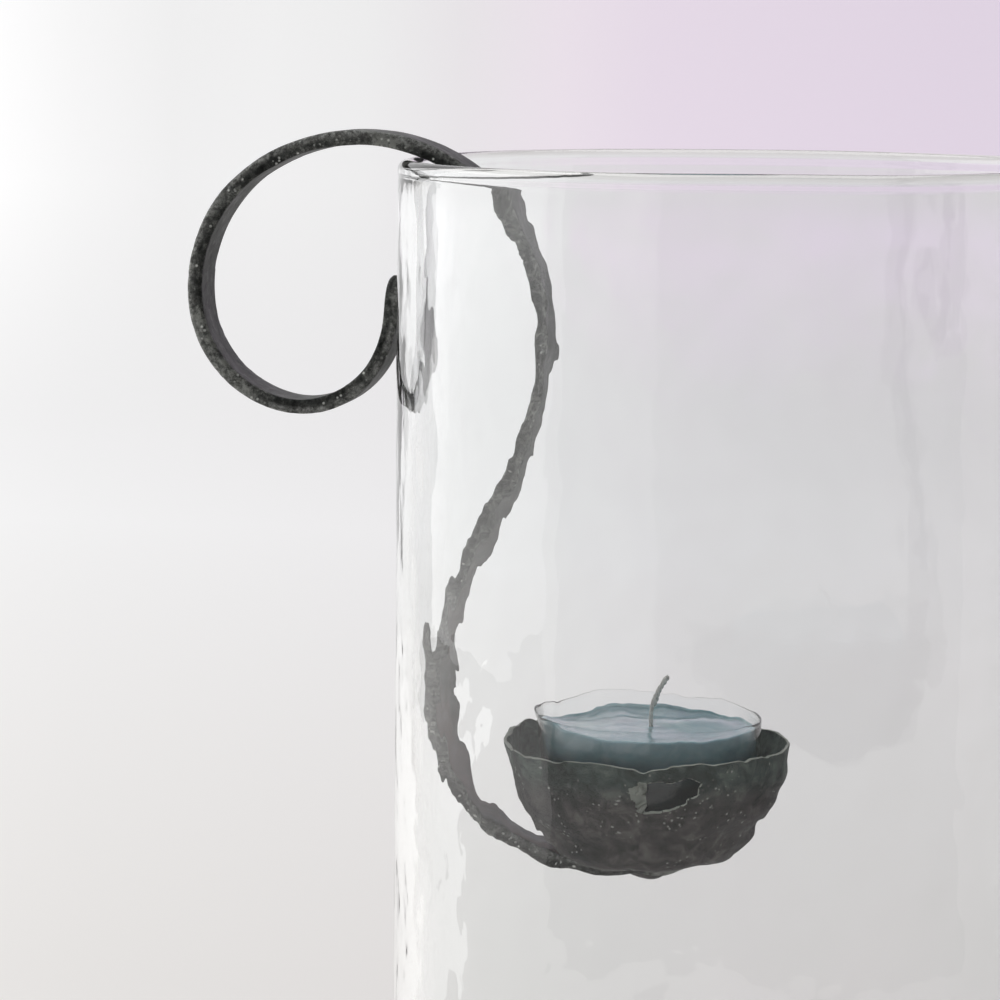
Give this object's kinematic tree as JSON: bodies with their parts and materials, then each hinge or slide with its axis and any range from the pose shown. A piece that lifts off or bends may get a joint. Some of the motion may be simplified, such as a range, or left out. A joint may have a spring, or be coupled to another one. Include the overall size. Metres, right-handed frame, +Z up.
{
  "type": "candle lantern",
  "caption": "Clear rippled glass hurricane cylinder with a forged iron candle holder hooked over its rim; the holder's hammered bowl carries a tealight.",
  "frame": {"origin": "centre of the glass's flat base, on the surface that it stands on", "axes": "+Z up along the axis of the glass; the hook hangs over the rim on the -X side and its strap is bent in the XZ plane"},
  "size_m": [0.1575, 0.12, 0.2045],
  "materials": {
    "clear_glass": "clear hand-blown glass, rippled outside, polished at the rim",
    "forged_iron": "black forge scale, pitted at the edges, satin on the flats",
    "hammered_iron": "dark grey-brown hammered sheet with a greenish grey lip",
    "rivet_iron": "hammered black iron",
    "clear_cup": "clear moulded plastic",
    "candle_wax": "blue-grey translucent wax",
    "wick_cotton": "waxed braided cotton",
    "tinned_steel": "thin tinned steel"
  },
  "bodies": {
    "glass": {"glass_cylinder": "clear_glass"},
    "holder": {"hook_strap": "forged_iron", "candle_bowl": "hammered_iron", "bowl_rivet": "rivet_iron"},
    "tealight": {"tealight_cup": "clear_cup", "wax": "candle_wax", "wick": "wick_cotton", "wick_foot": "tinned_steel"}
  },
  "joints": [
    {"name": "holder_lift", "type": "slide", "parent": "glass", "child": "holder", "axis": [0, 0, 1], "range_m": [0, 0.135]},
    {"name": "tealight_lift", "type": "slide", "parent": "holder", "child": "tealight", "axis": [0, 0, 1], "range_m": [0, 0.03]}
  ]
}
